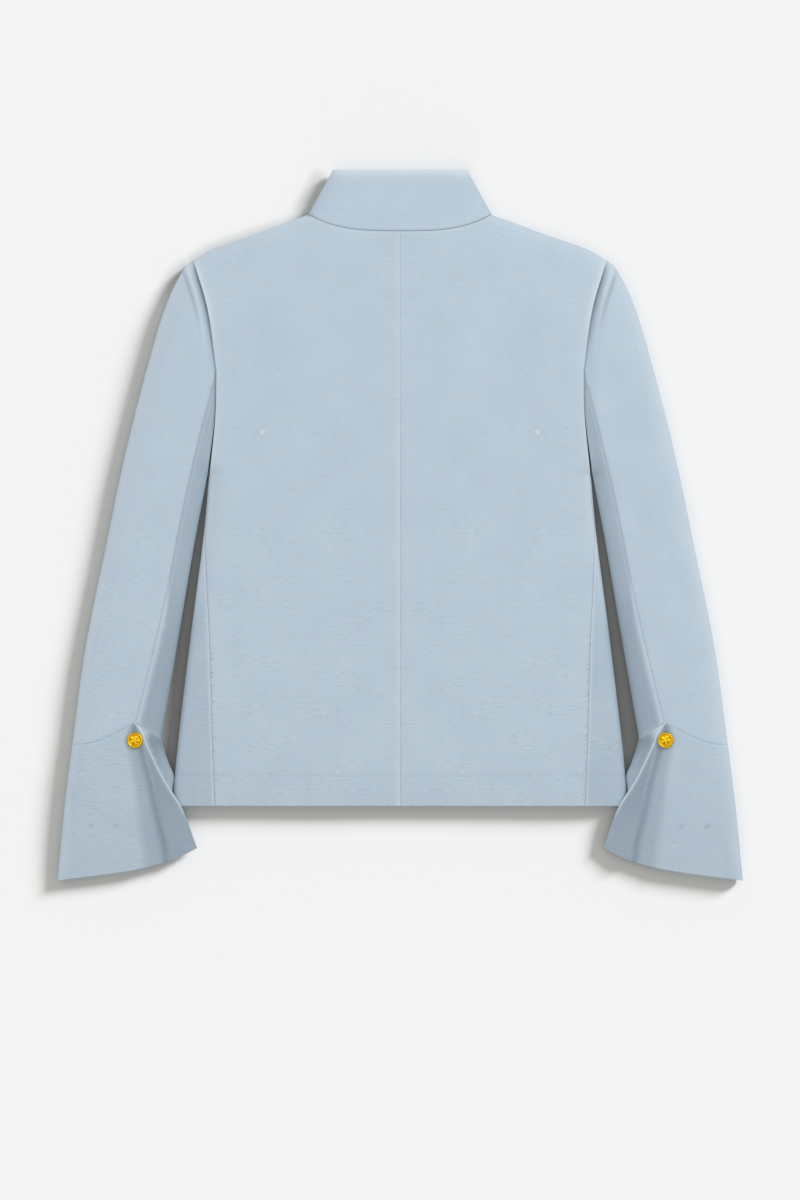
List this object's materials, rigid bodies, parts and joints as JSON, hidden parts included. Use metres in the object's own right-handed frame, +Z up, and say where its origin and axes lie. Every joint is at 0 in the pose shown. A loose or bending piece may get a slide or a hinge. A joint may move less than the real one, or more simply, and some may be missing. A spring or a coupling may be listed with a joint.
{
  "type": "stand collar jacket",
  "caption": "Light stand collar jacket laid flat with its back up: panelled body, set-in sleeves, flared cuffs open at a vent, and gold-coloured cuff buttons.",
  "frame": {"origin": "on the surface the jacket lies on, under the middle of its outline", "axes": "+X to the wearer's right, +Y from the hem to the collar, +Z up from the surface, out of the jacket's back"},
  "size_m": [0.6528, 0.6759, 0.0188],
  "materials": {
    "cloth": "matt slubbed plain weave, light powder blue",
    "button": "polished gold colour"
  },
  "bodies": {
    "root": {"back_left": "cloth", "back_right": "cloth", "side_left": "cloth", "side_right": "cloth", "front_left": "cloth", "front_right": "cloth", "sleeve_upper_left": "cloth", "sleeve_upper_right": "cloth", "sleeve_under_left": "cloth", "sleeve_under_right": "cloth", "cuff_left": "cloth", "cuff_right": "cloth", "collar": "cloth", "button_left": "button", "button_right": "button"}
  },
  "joints": []
}
